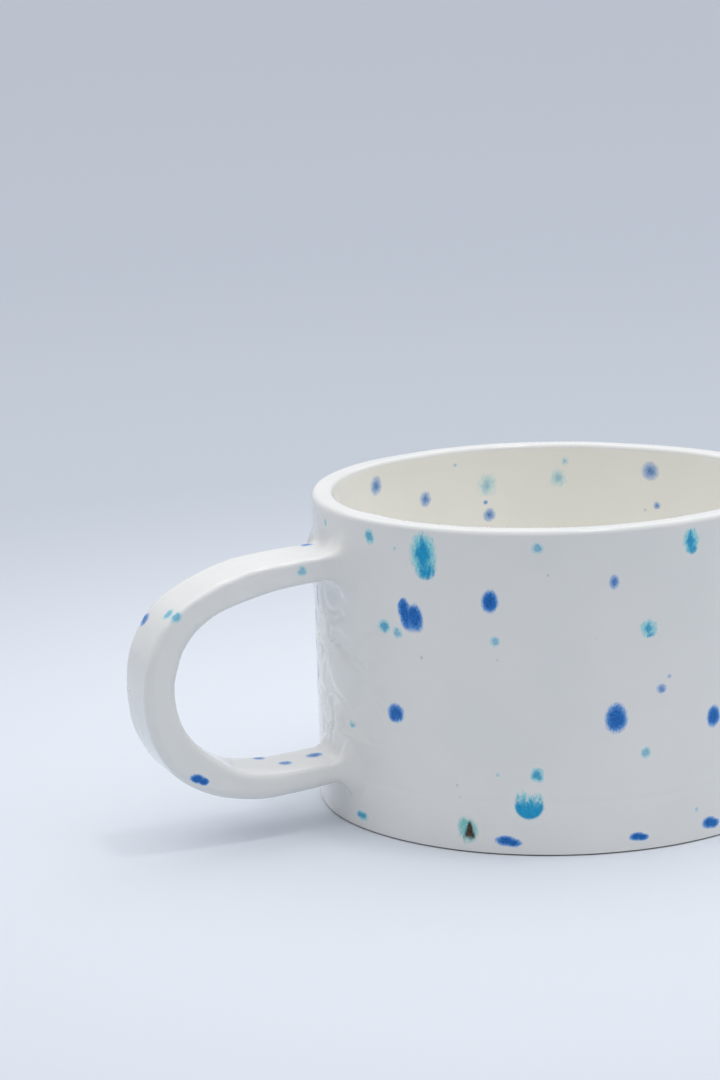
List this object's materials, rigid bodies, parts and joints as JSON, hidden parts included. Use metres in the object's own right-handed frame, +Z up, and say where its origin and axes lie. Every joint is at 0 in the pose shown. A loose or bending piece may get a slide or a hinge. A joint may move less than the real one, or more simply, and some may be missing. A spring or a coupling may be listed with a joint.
{
  "type": "stoneware mug",
  "caption": "Low wide hand-built stoneware mug with a squarish strap handle, glossy white glaze, cream liner and blue and turquoise spots.",
  "frame": {"origin": "on the mug's axis at its resting plane", "axes": "+Z up along the mug's axis, handle along -X"},
  "size_m": [0.1515, 0.106, 0.0692],
  "materials": {
    "stoneware": "unglazed, matt, fine grog",
    "joining_clay": "unglazed, matt, smoothed by finger",
    "outer_glaze": "glossy cool white with fine grey specks",
    "liner_glaze": "glossy cream white",
    "cobalt_glaze": "glossy cobalt blue, soft edges",
    "turquoise_glaze": "glossy turquoise, feathered edges",
    "iron_glaze": "glossy brown with a green ring"
  },
  "bodies": {
    "root": {"base_slab": "stoneware", "wall_slab": "stoneware", "wall_seam": "joining_clay", "base_joint_coil": "joining_clay", "handle_strap": "stoneware", "upper_joint_coil": "joining_clay", "lower_joint_coil": "joining_clay", "liner_glaze": "liner_glaze", "outer_glaze": "outer_glaze", "handle_glaze": "outer_glaze", "cobalt_spots": "cobalt_glaze", "turquoise_spots": "turquoise_glaze", "iron_spot": "iron_glaze"}
  },
  "joints": []
}
